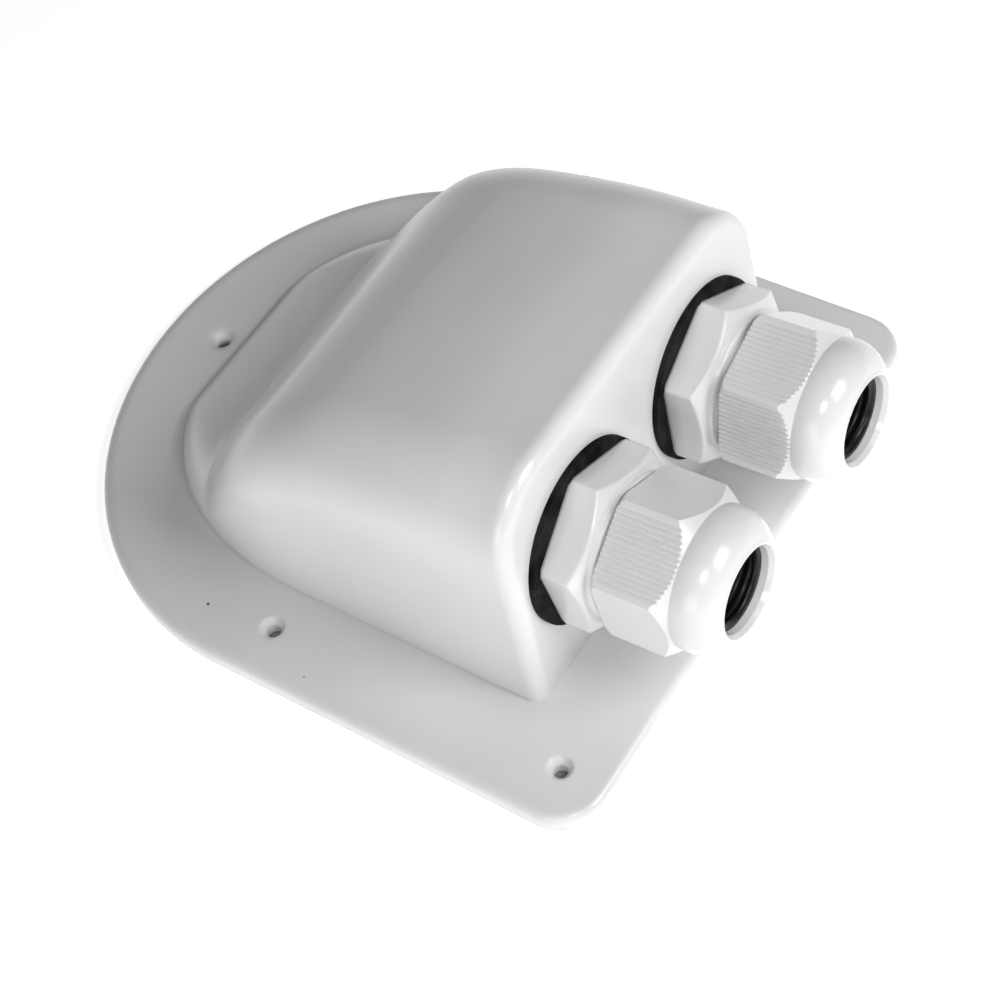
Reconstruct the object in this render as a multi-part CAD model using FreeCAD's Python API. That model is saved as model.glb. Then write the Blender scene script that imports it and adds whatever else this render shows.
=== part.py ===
import FreeCAD, Part
import math
import os

# Roof entry box for two solar cables.
# Millimetres. +X points out of the glands, +Z up from the roof. The origin is on
# the flange underside, midway between the four side screw holes.

os.makedirs("parts", exist_ok=True)

V = FreeCAD.Vector

# Flange
flange_length = 114.9
flange_thickness = 3.0
flange_corner_radius = 7.5
flange_rear_reach = 48.0
flange_edge_round = 1.3
flange_margin = 15.5
face_margin = 16.0

# Screw holes
hole_diameter = 2.2
dimple_diameter = 4.0
dimple_depth = 1.1
hole_spacing = 52.4
hole_inset = 8.2
rear_hole_inset = 10.9

# Hood
wall = 2.7
face_lean = 3.4
side_draft = 3.0
shoulder_radius = 12.5
face_edge_round = 2.4
rear_flat_half_width = 10.0
rear_sweep_length = 37.0
gland_side_room = 19.6
hood_height = 42.2
shelf_length = 17.0
shelf_height = 11.0
hood_overrun = 6.6

# Glands
gland_spacing = 33.6
gland_height = 22.6
gasket_thickness = 0.9
gasket_diameter = 28.6
gasket_slack = 1.2
body_wall = 2.1
body_flange_thickness = 5.9
body_front_chamfer = 1.4
collar_diameter = 22.0
collar_length = 0.9
thread_diameter = 20.0
tail_length = 12.0
thread_clearance = 0.06
wall_hole_clearance = 0.25
nut_wall = 1.1
nut_gap = 0.6
nut_length = 18.25
nut_hex_length = 11.6
nut_front_chamfer = 2.2
dome_start_radius = 10.8
dome_bulge_radius = 10.4
lip_radius = 7.6
opening_radius = 6.6
thread_engagement = 8.2
rib_pitch = 0.8
rib_depth = 0.32
rib_margin = 0.7
cable_passage_radius = 6.6
seal_outer_radius = 7.9
seal_bore_radius = 5.5
seal_nose_length = 1.2
seal_depth = 1.9
seal_clearance = 0.05
claw_outer_radius = 9.2
claw_tip_radius = 8.7
claw_length = 5.4
claw_count = 10
claw_slot = 1.1
locknut_wall = 2.5
locknut_thickness = 5.0
corner_chamfer = 0.8

nut_across_flats = thread_diameter + 2 * nut_wall
body_across_flats = thread_diameter + 2 * body_wall
locknut_across_flats = thread_diameter + 2 * locknut_wall

flange_front = hole_spacing / 2 + hole_inset
flange_rear = flange_front - flange_length
hood_front = flange_front - face_margin
hood_rear = flange_rear + flange_margin
hood_half_width = gland_spacing / 2 + gland_side_room
flange_half_width = hood_half_width + flange_margin

# The hood's top line: a low rear shelf up to a crisp crease, then a ramp that rolls over into
# the long crown. Each point is a share of the stretch's length and a share of its rise.
crease = hood_rear + shelf_length
crown_length = hood_front + hood_overrun - crease
crown_rise = hood_height - shelf_height
shelf_shape = [(0.04, 0.18), (0.13, 0.35), (0.35, 0.54), (1.0, 1.0)]
crown_shape = [
    (0.0, 0.0),
    (0.09, 0.275),
    (0.16, 0.465),
    (0.235, 0.63),
    (0.355, 0.785),
    (0.535, 0.9),
    (0.67, 0.957),
    (0.795, 0.984),
    (1.0, 1.0),
]
hood_foot = flange_thickness - 1.0
shelf_top = flange_thickness + shelf_height
shelf_line = [(hood_rear, hood_foot)]
for run, rise in shelf_shape:
    height = hood_foot + rise * (shelf_top - hood_foot)
    shelf_line.append((hood_rear + run * shelf_length, height))
crown_line = [(crease + run * crown_length, shelf_top + rise * crown_rise) for run, rise in crown_shape]
shelf_stations = [0.0, 0.04, 0.13, 0.24, 0.38, 0.59, 0.79, 1.0]
crown_stations = [0.0, 0.035, 0.075, 0.115, 0.165, 0.22, 0.29, 0.37, 0.465, 0.575, 0.7, 0.85, 1.0]


def secant(line, index):
    """Slope of a height line between two of its points."""
    first = line[index]
    second = line[index + 1]
    return (second[1] - first[1]) / (second[0] - first[0])


def tangent(line, index):
    """Slope of the smooth height line at one of its points."""
    if index == 0:
        return secant(line, 0)
    if index == len(line) - 1:
        return secant(line, index - 1)
    before = secant(line, index - 1)
    after = secant(line, index)
    return 2 * before * after / (before + after)


def height_and_slope(line, x):
    """Height and slope of the hood's top at a station along its length."""
    index = 0
    while index < len(line) - 2 and x > line[index + 1][0]:
        index += 1
    x0, z0 = line[index]
    x1, z1 = line[index + 1]
    span = x1 - x0
    s = (x - x0) / span
    m0 = tangent(line, index) * span
    m1 = tangent(line, index + 1) * span
    height = (
        (2 * s**3 - 3 * s**2 + 1) * z0
        + (s**3 - 2 * s**2 + s) * m0
        + (3 * s**2 - 2 * s**3) * z1
        + (s**3 - s**2) * m1
    )
    slope = (
        (6 * s**2 - 6 * s) * (z0 - z1)
        + (3 * s**2 - 4 * s + 1) * m0
        + (3 * s**2 - 2 * s) * m1
    ) / span
    return height, slope


def foot_half_width(x, inset):
    """Half width of the hood at its foot, rounded off in plan at the rear."""
    sweep_width = hood_half_width - rear_flat_half_width
    back = max(0.0, hood_rear + rear_sweep_length - x)
    share = min(1.0, back / (rear_sweep_length - inset))
    return rear_flat_half_width - inset + sweep_width * math.sqrt(1.0 - share**2)


def hood_section(line, x, inset, base):
    """Closed section of the hood across its length, moved in by a wall."""
    height, slope = height_and_slope(line, x)
    height -= inset * math.sqrt(1.0 + slope**2)
    draft = math.radians(side_draft)
    foot = foot_half_width(x, inset)
    radius = min(shoulder_radius - inset, 0.8 * (height - base), 0.8 * foot)
    centre_z = height - radius
    centre_y = foot - centre_z * math.tan(draft) - radius / math.cos(draft)
    wall_y = centre_y + radius * math.cos(draft)
    wall_z = centre_z + radius * math.sin(draft)
    middle = math.radians(45.0) + draft / 2
    arc_y = centre_y + radius * math.cos(middle)
    arc_z = centre_z + radius * math.sin(middle)
    base_y = foot - base * math.tan(draft)
    right = [V(x, base_y, base), V(x, wall_y, wall_z), V(x, arc_y, arc_z), V(x, centre_y, height)]
    left = [V(p.x, -p.y, p.z) for p in right]
    edges = [
        Part.LineSegment(left[0], right[0]).toShape(),
        Part.LineSegment(right[0], right[1]).toShape(),
        Part.Arc(right[1], right[2], right[3]).toShape(),
        Part.LineSegment(right[3], left[3]).toShape(),
        Part.Arc(left[3], left[2], left[1]).toShape(),
        Part.LineSegment(left[1], left[0]).toShape(),
    ]
    return Part.Wire(edges)


def loft(line, stations, inset, base):
    """Solid through hood sections at shares of a height line's length."""
    start = line[0][0]
    length = line[-1][0] - start
    sections = [hood_section(line, start + share * length, inset, base) for share in stations]
    return Part.makeLoft(sections, True, False)


def hood_form(inset, base):
    """The hood's shelf and crown as one solid, moved in by a wall."""
    rear_part = [share for share in shelf_stations if share * shelf_length >= inset]
    shelf = loft(shelf_line, rear_part, inset, base)
    return shelf.fuse(loft(crown_line, crown_stations, inset, base))


def in_front_of_face(offset):
    """Block in front of the leaning face, moved out by an offset."""
    size = 200.0
    block = Part.makeBox(size, 2 * size, 2 * size, V(offset, -size, -size))
    block.rotate(V(0, 0, 0), V(0, 1, 0), -face_lean)
    block.translate(V(hood_front, 0, flange_thickness))
    return block


def face_distance(point):
    """Distance of a point in front of the hood's face."""
    lean = math.radians(face_lean)
    along = (point.x - hood_front) * math.cos(lean)
    return along + (point.z - flange_thickness) * math.sin(lean)


def make_flange():
    """Flange plate with its round rear and rounded front corners."""
    r = flange_corner_radius
    front = flange_front
    half = flange_half_width
    round_start = flange_rear + flange_rear_reach
    rear_arc = Part.Arc(V(0, half, 0), V(-half, 0, 0), V(0, -half, 0)).toShape()
    squash = FreeCAD.Matrix()
    squash.scale(V(flange_rear_reach / half, 1, 1))
    rear_oval = rear_arc.transformGeometry(squash)
    rear_oval.translate(V(round_start, 0, 0))
    diagonal = r * (1 - math.sqrt(0.5))
    edges = [
        Part.LineSegment(V(round_start, -half, 0), V(front - r, -half, 0)).toShape(),
        Part.Arc(
            V(front - r, -half, 0),
            V(front - diagonal, -half + diagonal, 0),
            V(front, -half + r, 0),
        ).toShape(),
        Part.LineSegment(V(front, -half + r, 0), V(front, half - r, 0)).toShape(),
        Part.Arc(
            V(front, half - r, 0),
            V(front - diagonal, half - diagonal, 0),
            V(front - r, half, 0),
        ).toShape(),
        Part.LineSegment(V(front - r, half, 0), V(round_start, half, 0)).toShape(),
        rear_oval,
    ]
    plate = Part.Face(Part.Wire(edges)).extrude(V(0, 0, flange_thickness))
    rim = [e for e in plate.Edges if e.BoundBox.ZMin > flange_thickness - 0.01]
    return plate.makeFillet(flange_edge_round, rim)


def screw_hole(x, y):
    """Small through hole with a conical dimple on top."""
    drill = Part.makeCylinder(hole_diameter / 2, flange_thickness + 2, V(x, y, -1))
    dimple = Part.makeCone(
        hole_diameter / 2,
        dimple_diameter / 2,
        dimple_depth,
        V(x, y, flange_thickness - dimple_depth),
    )
    return drill.fuse(dimple)


def gland_seat(side):
    """Placement of a gland's own X axis at its seat on the leaning face."""
    lean = math.radians(face_lean)
    seat_x = hood_front - (gland_height - flange_thickness) * math.tan(lean)
    turn = FreeCAD.Rotation(V(0, 1, 0), -face_lean)
    return FreeCAD.Placement(V(seat_x, side * gland_spacing / 2, gland_height), turn)


def make_housing():
    """One-piece moulding: flange, hollow hood, gland holes, screw holes."""
    hood = hood_form(0.0, 0.0).cut(in_front_of_face(0.0))
    rounded = []
    for edge in hood.Edges:
        middle = edge.valueAt((edge.FirstParameter + edge.LastParameter) / 2)
        if abs(face_distance(middle)) < 0.01 and edge.BoundBox.ZMax > 1.0:
            rounded.append(edge)
    hood = hood.makeFillet(face_edge_round, rounded)
    cavity = hood_form(wall, -1.0).cut(in_front_of_face(-wall))
    shell = make_flange().fuse(hood).cut(cavity)
    hole_y = flange_half_width - hole_inset
    places = [(flange_rear + rear_hole_inset, 0.0)]
    for along in (-1, 1):
        for side in (-1, 1):
            places.append((along * hole_spacing / 2, side * hole_y))
    for x, y in places:
        shell = shell.cut(screw_hole(x, y))
    for side in (-1, 1):
        drill = Part.makeCylinder(
            thread_diameter / 2 + wall_hole_clearance, 4 * wall, V(-2 * wall, 0, 0), V(1, 0, 0)
        )
        drill.Placement = gland_seat(side).multiply(drill.Placement)
        shell = shell.cut(drill)
    return shell.removeSplitter()


def revolve(points):
    """Solid of revolution about X from (x, radius) points."""
    wire = Part.makePolygon([V(x, r, 0) for x, r in points + points[:1]])
    return Part.Face(wire).revolve(V(0, 0, 0), V(1, 0, 0), 360)


def hexagon(start, length, across_flats, turn):
    """Hexagonal prism along X with its first corner at a turn from +Y."""
    radius = across_flats / math.sqrt(3)
    corners = []
    for k in range(7):
        angle = math.radians(turn + 60 * k)
        corners.append(V(start, radius * math.cos(angle), radius * math.sin(angle)))
    return Part.Face(Part.makePolygon(corners)).extrude(V(length, 0, 0))


def ribbed_hexagon(start, length, turn, smooth_faces):
    """Hexagonal prism with fine grooves, apart from its smooth faces and those opposite."""
    radius = nut_across_flats / math.sqrt(3)
    count = int((radius - 2 * rib_margin) / rib_pitch)
    margin = (radius - count * rib_pitch) / 2
    points = []
    for k in range(6):
        angle = math.radians(turn + 60 * k)
        along = V(0, -math.sin(angle + math.pi / 6), math.cos(angle + math.pi / 6))
        inward = V(0, -math.cos(angle + math.pi / 6), -math.sin(angle + math.pi / 6))
        corner = V(start, radius * math.cos(angle), radius * math.sin(angle))
        points.append(corner)
        if k % 3 in smooth_faces:
            continue
        for rib in range(count):
            first = corner + along * (margin + rib * rib_pitch)
            points.append(first)
            points.append(first + along * (rib_pitch / 2) + inward * rib_depth)
        points.append(corner + along * (margin + count * rib_pitch))
    points.append(points[0])
    return Part.Face(Part.makePolygon(points)).extrude(V(length, 0, 0))


def make_gasket(shift):
    """Flat black washer between the face and the gland's hexagon, off centre in its slack."""
    bore_radius = thread_diameter / 2 + gasket_slack
    washer = revolve([
        (0.0, bore_radius),
        (0.0, gasket_diameter / 2),
        (gasket_thickness, gasket_diameter / 2),
        (gasket_thickness, bore_radius),
    ])
    across, up = shift
    washer.translate(V(0, across * gasket_slack, up * gasket_slack))
    return washer


def make_gland_body(turn):
    """Gland body: threaded tail, hexagon, collar, thread and claw basket."""
    flange_end = gasket_thickness + body_flange_thickness
    collar_end = flange_end + collar_length
    thread_end = collar_end + nut_gap + thread_engagement
    claw_end = thread_end + claw_length
    thread_radius = thread_diameter / 2
    corner_radius = body_across_flats / math.sqrt(3)
    pocket_radius = seal_outer_radius + seal_clearance
    hexagon_part = hexagon(gasket_thickness, body_flange_thickness, body_across_flats, turn)
    trim = revolve([
        (gasket_thickness, 0.0),
        (gasket_thickness, corner_radius - corner_chamfer / 2),
        (gasket_thickness + corner_chamfer / 2, corner_radius),
        (flange_end - body_front_chamfer, corner_radius),
        (flange_end, corner_radius - 1.6 * body_front_chamfer),
        (flange_end, 0.0),
    ])
    stem = revolve([
        (-tail_length, cable_passage_radius),
        (-tail_length, thread_radius - corner_chamfer),
        (corner_chamfer - tail_length, thread_radius),
        (gasket_thickness, thread_radius),
        (flange_end, thread_radius),
        (flange_end, collar_diameter / 2),
        (collar_end - 0.3, collar_diameter / 2),
        (collar_end, collar_diameter / 2 - 0.3),
        (collar_end, thread_radius),
        (thread_end, thread_radius),
        (thread_end + 0.6, claw_outer_radius),
        (claw_end, claw_tip_radius),
        (claw_end, pocket_radius),
        (collar_end, pocket_radius),
        (collar_end, cable_passage_radius),
    ])
    body = hexagon_part.common(trim).fuse(stem)
    passage = Part.makeCylinder(
        cable_passage_radius, flange_end + 1, V(-1, 0, 0), V(1, 0, 0)
    )
    body = body.cut(passage)
    for k in range(claw_count):
        slot = Part.makeBox(
            claw_length, claw_slot, 2 * thread_radius, V(thread_end + 0.8, -claw_slot / 2, 0)
        )
        slot.rotate(V(0, 0, 0), V(1, 0, 0), 360.0 * k / claw_count)
        body = body.cut(slot)
    return body.removeSplitter()


def nut_start(extra):
    """Distance of the dome nut's rear rim from the face."""
    return gasket_thickness + body_flange_thickness + collar_length + nut_gap + extra


def make_dome_nut(turn, smooth_faces, extra):
    """Dome nut: ribbed hexagon running into a dome with a round cable opening."""
    start = nut_start(extra)
    end = start + nut_length
    hex_end = start + nut_hex_length
    corner_radius = nut_across_flats / math.sqrt(3)
    bore_radius = thread_diameter / 2 + thread_clearance
    outline = [
        V(start, 0, 0),
        V(start, corner_radius - corner_chamfer, 0),
        V(start + corner_chamfer, corner_radius, 0),
        V(hex_end - nut_front_chamfer, corner_radius + 0.1, 0),
        V(hex_end, dome_start_radius, 0),
    ]
    dome_end = V(end - 0.3, lip_radius, 0)
    lip = V(end, lip_radius - 0.4, 0)
    mouth = V(end, opening_radius + 0.4, 0)
    bulge = V(hex_end + 0.54 * (end - hex_end), dome_bulge_radius, 0)
    edges = [Part.LineSegment(a, b).toShape() for a, b in zip(outline[:-1], outline[1:])]
    edges.append(Part.Arc(outline[-1], bulge, dome_end).toShape())
    edges.append(Part.LineSegment(dome_end, lip).toShape())
    edges.append(Part.LineSegment(lip, mouth).toShape())
    edges.append(Part.LineSegment(mouth, V(end, 0, 0)).toShape())
    edges.append(Part.LineSegment(V(end, 0, 0), outline[0]).toShape())
    envelope = Part.Face(Part.Wire(edges)).revolve(V(0, 0, 0), V(1, 0, 0), 360)
    prism = ribbed_hexagon(start, nut_hex_length, turn, smooth_faces)
    front = Part.makeBox(nut_length, 60, 60, V(hex_end, -30, -30))
    rear_part = envelope.common(prism)
    front_part = envelope.common(front)
    nut = rear_part.fuse(front_part)
    inside = revolve([
        (start - 1, 0.0),
        (start - 1, bore_radius),
        (start + thread_engagement + 1.4, bore_radius),
        (end - 4.6, seal_outer_radius + 1.35),
        (end - 3.1, seal_outer_radius + 0.2),
        (end - 2.9, opening_radius),
        (end - 0.8, opening_radius),
        (end, opening_radius + 0.4),
        (end + 1, opening_radius + 0.9),
        (end + 1, 0.0),
    ])
    return nut.cut(inside).removeSplitter()


def make_seal(extra):
    """Rubber sleeve round the cable, with a nose that fills the nut's mouth."""
    start = gasket_thickness + body_flange_thickness + collar_length + extra
    tip = nut_start(extra) + nut_length - seal_depth
    shoulder = tip - seal_nose_length
    nose_radius = opening_radius - seal_clearance
    return revolve([
        (start, seal_bore_radius + 0.5),
        (start, seal_outer_radius - 0.5),
        (start + 0.8, seal_outer_radius),
        (shoulder - 0.8, seal_outer_radius),
        (shoulder, nose_radius),
        (tip, nose_radius),
        (tip, seal_bore_radius + 0.4),
        (tip - 0.6, seal_bore_radius),
        (start + 0.6, seal_bore_radius),
    ])


def make_locknut():
    """Hexagonal lock nut that clamps the gland from inside the hood."""
    start = -wall - locknut_thickness
    radius = locknut_across_flats / math.sqrt(3)
    trim = revolve([
        (start, 0.0),
        (start, radius - 2 * corner_chamfer),
        (start + corner_chamfer, radius),
        (-wall - corner_chamfer / 2, radius),
        (-wall, radius - corner_chamfer),
        (-wall, 0.0),
    ])
    prism = hexagon(start, locknut_thickness, locknut_across_flats, 30.0)
    bore = Part.makeCylinder(
        thread_diameter / 2 + thread_clearance,
        locknut_thickness + 2,
        V(start - 1, 0, 0),
        V(1, 0, 0),
    )
    return prism.common(trim).cut(bore)


def export(shape, name, placement=None):
    """Write one piece, placed at its gland seat where it has one."""
    if placement is not None:
        shape.Placement = placement.multiply(shape.Placement)
    shape.exportStep("parts/" + name + ".step")


export(make_housing(), "housing")

# side, shift of the gasket as shares of its slack, turn of the body's hexagon, turn of the
# nut, its smooth faces, nut standing out
glands = {
    "near": (-1, (-0.58, 0.58), 37.6, 34.6, (0, 2), 0.0),
    "far": (1, (-0.42, 0.25), 28.0, 15.6, (0,), 0.6),
}
for gland, (side, shift, body_turn, nut_turn, smooth_faces, extra) in glands.items():
    seat = gland_seat(side)
    export(make_gasket(shift), gland + "_gasket", seat)
    export(make_gland_body(body_turn), gland + "_gland_body", seat)
    export(make_seal(extra), gland + "_seal", seat)
    export(make_dome_nut(nut_turn, smooth_faces, extra), gland + "_dome_nut", seat)
    export(make_locknut(), gland + "_lock_nut", seat)
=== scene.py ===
import bpy
import math
from mathutils import Matrix, Vector


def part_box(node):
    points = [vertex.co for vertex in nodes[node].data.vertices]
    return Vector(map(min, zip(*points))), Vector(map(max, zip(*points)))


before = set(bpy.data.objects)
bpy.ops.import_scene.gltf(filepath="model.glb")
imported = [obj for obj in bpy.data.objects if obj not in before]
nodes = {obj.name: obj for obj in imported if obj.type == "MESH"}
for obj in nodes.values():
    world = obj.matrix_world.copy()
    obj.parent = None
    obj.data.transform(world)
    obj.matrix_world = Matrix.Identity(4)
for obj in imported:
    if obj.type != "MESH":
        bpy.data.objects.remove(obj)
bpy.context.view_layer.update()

# Millimetres to metres
MM = 0.001

sides = ("near", "far")


# Shader nodes

# Noise keeps to the middle of its range, so the mappings start from this part of it
noise_low = 0.1
noise_high = 0.9
noise_roughness = 0.55
edge_samples = 8


def new_material(name):
    """Empty node material with its main shader."""
    material = bpy.data.materials.new(name)
    material.use_nodes = True
    tree = material.node_tree
    tree.nodes.clear()
    output = tree.nodes.new("ShaderNodeOutputMaterial")
    shader = tree.nodes.new("ShaderNodeBsdfPrincipled")
    tree.links.new(shader.outputs["BSDF"], output.inputs["Surface"])
    return material, tree, shader


def noise(tree, scale, detail):
    """Noise in object coordinates, its scale counted per metre."""
    place = tree.nodes.new("ShaderNodeTexCoord")
    texture = tree.nodes.new("ShaderNodeTexNoise")
    texture.inputs["Scale"].default_value = scale
    texture.inputs["Detail"].default_value = detail
    texture.inputs["Roughness"].default_value = noise_roughness
    tree.links.new(place.outputs["Object"], texture.inputs["Vector"])
    return texture.outputs["Fac"]


def spread(tree, source, low, high, start=noise_low, end=noise_high):
    """Value mapped smoothly from the range start..end to low..high."""
    mapping = tree.nodes.new("ShaderNodeMapRange")
    mapping.interpolation_type = "SMOOTHSTEP"
    mapping.inputs["From Min"].default_value = start
    mapping.inputs["From Max"].default_value = end
    mapping.inputs["To Min"].default_value = low
    mapping.inputs["To Max"].default_value = high
    tree.links.new(source, mapping.inputs["Value"])
    return mapping.outputs["Result"]


def soft_edges(tree, radius):
    """Normal that rounds off sharp edges in the shading."""
    node = tree.nodes.new("ShaderNodeBevel")
    node.samples = edge_samples
    node.inputs["Radius"].default_value = radius
    return node


def bump(tree, shader, source, strength, distance, before=None):
    """Bump from a value, on top of an earlier normal."""
    node = tree.nodes.new("ShaderNodeBump")
    node.inputs["Strength"].default_value = strength
    node.inputs["Distance"].default_value = distance
    tree.links.new(source, node.inputs["Height"])
    if before is not None:
        tree.links.new(before.outputs["Normal"], node.inputs["Normal"])
    tree.links.new(node.outputs["Normal"], shader.inputs["Normal"])


def tint(tree, shader, source, dark, light):
    """Base colour between two greys, led by a value."""
    mix = tree.nodes.new("ShaderNodeMix")
    mix.data_type = "RGBA"
    mix.inputs["A"].default_value = (dark, dark, dark, 1.0)
    mix.inputs["B"].default_value = (light, light, light, 1.0)
    tree.links.new(source, mix.inputs["Factor"])
    tree.links.new(mix.outputs["Result"], shader.inputs["Base Color"])


# White plastic of the housing and the glands

flow_mark_scale = 45.0
flow_mark_detail = 3.0
plastic_grain_detail = 2.0
plastic_grain_strength = 0.3
plastic_grain_height = 0.03 * MM
smoother_by = 0.04
rougher_by = 0.05
plastic_ior = 1.52
translucency = 0.06
light_reach = 2 * MM
light_reach_scale = 0.5


def moulded_plastic(name, dark, light, rough, grain_scale, edge):
    """Moulded plastic with a fine grain, faint flow marks and soft edges."""
    material, tree, shader = new_material(name)
    flow_marks = noise(tree, flow_mark_scale, flow_mark_detail)
    grain = noise(tree, grain_scale, plastic_grain_detail)
    tint(tree, shader, spread(tree, flow_marks, 0.0, 1.0), dark, light)
    rough_map = spread(tree, flow_marks, rough - smoother_by, rough + rougher_by)
    tree.links.new(rough_map, shader.inputs["Roughness"])
    shader.inputs["IOR"].default_value = plastic_ior
    shader.inputs["Subsurface Weight"].default_value = translucency
    shader.inputs["Subsurface Radius"].default_value = (light_reach, light_reach, light_reach)
    shader.inputs["Subsurface Scale"].default_value = light_reach_scale
    rounded = soft_edges(tree, edge)
    bump(tree, shader, grain, plastic_grain_strength, plastic_grain_height, rounded)
    return material, tree, shader, rounded


shell_dark = 0.70
shell_light = 0.76
shell_rough = 0.22
shell_grain_scale = 1800.0
shell_edge = 0.9 * MM
# At its rear the hood blends into the plate, so the edges are softer over this stretch of X
rear_edge = 3.0 * MM
rear_from = -54 * MM
rear_to = -34 * MM
# Specks on the near side of the plate: place and radius
dirt_specks = [
    ((-38.0 * MM, -44.9 * MM, 3.0 * MM), 0.34 * MM),
    ((-16.4 * MM, -48.7 * MM, 3.0 * MM), 0.18 * MM),
]
dirt_colour = (0.06, 0.06, 0.055, 1.0)
# Share of a speck's radius that is dark all over
speck_core = 0.4


def soften_rear(tree, bevel):
    """Rounds edges off more at the hood's rear."""
    place = tree.nodes.new("ShaderNodeTexCoord")
    split = tree.nodes.new("ShaderNodeSeparateXYZ")
    tree.links.new(place.outputs["Object"], split.inputs["Vector"])
    radius = spread(tree, split.outputs["X"], rear_edge, shell_edge, rear_from, rear_to)
    tree.links.new(radius, bevel.inputs["Radius"])


def add_dirt(tree, shader):
    """Lays the specks of dirt over the shader's base colour."""
    coords = tree.nodes.new("ShaderNodeTexCoord")
    for place, radius in dirt_specks:
        gap = tree.nodes.new("ShaderNodeVectorMath")
        gap.operation = "DISTANCE"
        gap.inputs[1].default_value = place
        tree.links.new(coords.outputs["Object"], gap.inputs[0])
        cover = spread(tree, gap.outputs["Value"], 1.0, 0.0, speck_core * radius, radius)
        mix = tree.nodes.new("ShaderNodeMix")
        mix.data_type = "RGBA"
        tree.links.new(shader.inputs["Base Color"].links[0].from_socket, mix.inputs["A"])
        mix.inputs["B"].default_value = dirt_colour
        tree.links.new(cover, mix.inputs["Factor"])
        tree.links.new(mix.outputs["Result"], shader.inputs["Base Color"])


def shell_plastic():
    """The housing's plastic, with its soft rear and its dirt."""
    material, tree, shader, rounded = moulded_plastic(
        "shell_white", shell_dark, shell_light, shell_rough, shell_grain_scale, shell_edge
    )
    soften_rear(tree, rounded)
    add_dirt(tree, shader)
    return material


nylon_dark = 0.70
nylon_light = 0.77
nylon_rough = 0.18
nylon_grain_scale = 2600.0
body_edge = 0.8 * MM
# Smaller than a rib, so that the dome nuts' ribs stay crisp
nut_edge = 0.14 * MM


def nylon(name, edge):
    """The glands' nylon."""
    return moulded_plastic(
        name, nylon_dark, nylon_light, nylon_rough, nylon_grain_scale, edge
    )[0]


# Black rubber of the washers and the seals

dust_scale = 220.0
dust_detail = 5.0
dust_start = 0.3
dust_end = 0.7
rubber_grain_scale = 2500.0
rubber_grain_detail = 3.0
rubber_rough_span = 0.1


def rubber(name, dark, light, rough, gloss):
    """Black rubber with a dusty bloom, and its grain for a bump."""
    material, tree, shader = new_material(name)
    bloom = noise(tree, dust_scale, dust_detail)
    grain = noise(tree, rubber_grain_scale, rubber_grain_detail)
    dust = spread(tree, bloom, 0.0, 1.0, dust_start, dust_end)
    tint(tree, shader, dust, dark, light)
    rough_map = spread(tree, grain, rough - rubber_rough_span, rough + rubber_rough_span)
    tree.links.new(rough_map, shader.inputs["Roughness"])
    shader.inputs["Specular IOR Level"].default_value = gloss
    return material, tree, shader, grain


washer_dark = 0.0008
washer_light = 0.020
washer_rough = 0.6
washer_gloss = 0.05
washer_grain_strength = 0.35
washer_grain_height = 0.08 * MM


def washer_rubber():
    """Flat rubber sheet with a grain."""
    material, tree, shader, grain = rubber(
        "washer_rubber", washer_dark, washer_light, washer_rough, washer_gloss
    )
    bump(tree, shader, grain, washer_grain_strength, washer_grain_height)
    return material


seal_dark = 0.003
seal_light = 0.008
seal_rough = 0.34
seal_gloss = 0.3
ring_scale = 260.0
ring_distortion = 0.6
ring_strength = 0.8
ring_height = 0.2 * MM


def seal_rubber():
    """Soft rubber with moulded grip rings along the sleeve."""
    material, tree, shader, _ = rubber(
        "seal_rubber", seal_dark, seal_light, seal_rough, seal_gloss
    )
    place = tree.nodes.new("ShaderNodeTexCoord")
    rings = tree.nodes.new("ShaderNodeTexWave")
    rings.bands_direction = "X"
    rings.inputs["Scale"].default_value = ring_scale
    rings.inputs["Distortion"].default_value = ring_distortion
    tree.links.new(place.outputs["Object"], rings.inputs["Vector"])
    bump(tree, shader, rings.outputs["Fac"], ring_strength, ring_height)
    return material


# Materials on the pieces

shell_white = shell_plastic()
body_nylon = nylon("body_nylon", body_edge)
nut_nylon = nylon("nut_nylon", nut_edge)
black_washer = washer_rubber()
black_seal = seal_rubber()


def dress(name, material):
    """Gives a CAD node one material."""
    mesh = nodes[name].data
    mesh.materials.clear()
    mesh.materials.append(material)


dress("housing", shell_white)
for side in sides:
    dress(f"{side}_gland_body", body_nylon)
    dress(f"{side}_lock_nut", body_nylon)
    dress(f"{side}_dome_nut", nut_nylon)
    dress(f"{side}_gasket", black_washer)
    dress(f"{side}_seal", black_seal)


# Stage

stage_grain_detail = 3.0
stage_rough = 0.8


def stage_plane(name, points, height, material_name, grain_scale, dark, light, glow):
    """Flat matt face from its corner points."""
    mesh = bpy.data.meshes.new(name)
    mesh.from_pydata(points, [], [tuple(range(len(points)))])
    plane = bpy.data.objects.new(name, mesh)
    plane.location = (0, 0, height)
    bpy.context.scene.collection.objects.link(plane)
    material, tree, shader = new_material(material_name)
    grain = noise(tree, grain_scale, stage_grain_detail)
    tint(tree, shader, spread(tree, grain, 0.0, 1.0), dark, light)
    shader.inputs["Roughness"].default_value = stage_rough
    shader.inputs["Emission Color"].default_value = (1.0, 1.0, 1.0, 1.0)
    shader.inputs["Emission Strength"].default_value = glow
    mesh.materials.append(material)
    return plane


floor_size = 6.0
floor_height = -0.2 * MM
floor_dark = 0.93
floor_light = 0.95
floor_grain_scale = 12.0
floor_glow = 0.55
half = floor_size / 2
floor_points = [(-half, -half, 0), (half, -half, 0), (half, half, 0), (-half, half, 0)]
floor = stage_plane(
    "floor",
    floor_points,
    floor_height,
    "floor_white",
    floor_grain_scale,
    floor_dark,
    floor_light,
    floor_glow,
)

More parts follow.
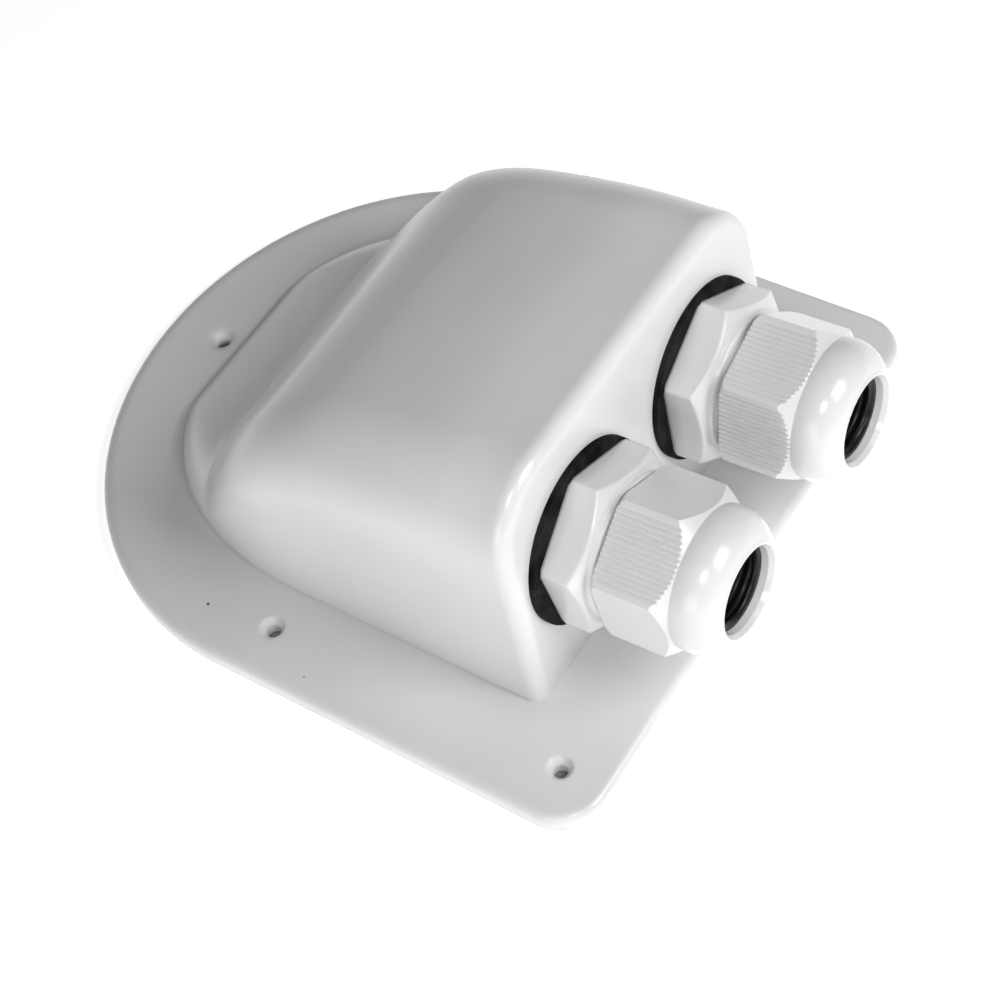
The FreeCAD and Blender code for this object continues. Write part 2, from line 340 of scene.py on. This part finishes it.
# Painted shade: a grey sheet without glow under the plate, darker than the floor, stands in
# for the roof in shade as seen through the screw holes
box_low, box_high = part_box("housing")
shade_height = -0.1 * MM
# The sheet's grey is painted shade, darker than the floor's white
painted_shade_dark = 0.30
painted_shade_light = 0.36
shade_grain_scale = 60.0
shade_glow = 0.0
shade_margin = 4 * MM
shade_half = box_high[1] - shade_margin
shade_front = box_high[0] - shade_margin
# Length of the patch's half-oval rear, which follows the plate's
shade_reach = 44 * MM
shade_start = box_low[0] + shade_margin + shade_reach
shade_points = [(shade_front, -shade_half, 0), (shade_front, shade_half, 0)]
shade_steps = 24
for step in range(shade_steps + 1):
    angle = math.pi * step / shade_steps
    across = shade_half * math.cos(angle)
    shade_points.append((shade_start - shade_reach * math.sin(angle), across, 0))
painted_shade_roof = stage_plane(
    "painted_shade_roof",
    shade_points,
    shade_height,
    "painted_shade_grey",
    shade_grain_scale,
    painted_shade_dark,
    painted_shade_light,
    shade_glow,
)


# Light

light_target = Vector((-0.02, 0.0, 0.02))


def soft_light(name, place, size, power):
    """Square area light that faces the box."""
    light = bpy.data.lights.new(name, "AREA")
    light.shape = "SQUARE"
    light.size = size
    light.energy = power
    lamp = bpy.data.objects.new(name, light)
    lamp.location = place
    away = Vector(place) - light_target
    lamp.rotation_euler = away.to_track_quat("Z", "Y").to_euler()
    bpy.context.scene.collection.objects.link(lamp)


soft_light("key_light", (0.52, -0.52, 0.80), size=0.22, power=3.3)
soft_light("front_light", (0.35, 0.05, 0.35), size=0.20, power=1.25)
soft_light("side_light", (0.15, -0.55, 0.12), size=0.30, power=0.76)
soft_light("far_light", (-0.10, 0.55, 0.45), size=0.40, power=0.15)

# Studio walls: pale near the floor, darker overhead
wall_glow = 0.50
ceiling_glow = 0.09
wall_top = 0.02
ceiling_start = 0.20
world = bpy.data.worlds.new("studio")
world.use_nodes = True
world_tree = world.node_tree
background = world_tree.nodes["Background"]
background.inputs["Color"].default_value = (1, 1, 1, 1)
look = world_tree.nodes.new("ShaderNodeTexCoord")
split = world_tree.nodes.new("ShaderNodeSeparateXYZ")
world_tree.links.new(look.outputs["Generated"], split.inputs["Vector"])
glow = spread(world_tree, split.outputs["Z"], wall_glow, ceiling_glow, wall_top, ceiling_start)
world_tree.links.new(glow, background.inputs["Strength"])
bpy.context.scene.world = world
bpy.context.scene.view_settings.view_transform = "Standard"


# Camera, solved from the photo

camera_right = Vector((0.83173, 0.53544, -0.14677))
camera_up = Vector((-0.35846, 0.71978, 0.59450))
camera_back = Vector((0.42396, -0.44185, 0.79059))
camera_place = Vector((137.43, -156.72, 271.92)) * MM
focal_length = 77.8
sensor_width = 36.0
shift_right = -0.0070
shift_up = -0.0027
nearest_seen = 10 * MM
lens = bpy.data.cameras.new("camera")
lens.lens = focal_length
lens.sensor_width = sensor_width
lens.sensor_fit = "HORIZONTAL"
lens.shift_x = shift_right
lens.shift_y = shift_up
lens.clip_start = nearest_seen
camera = bpy.data.objects.new("camera", lens)
turn = Matrix((camera_right, camera_up, camera_back)).transposed().to_4x4()
camera.matrix_world = Matrix.Translation(camera_place) @ turn
bpy.context.scene.collection.objects.link(camera)
bpy.context.scene.camera = camera
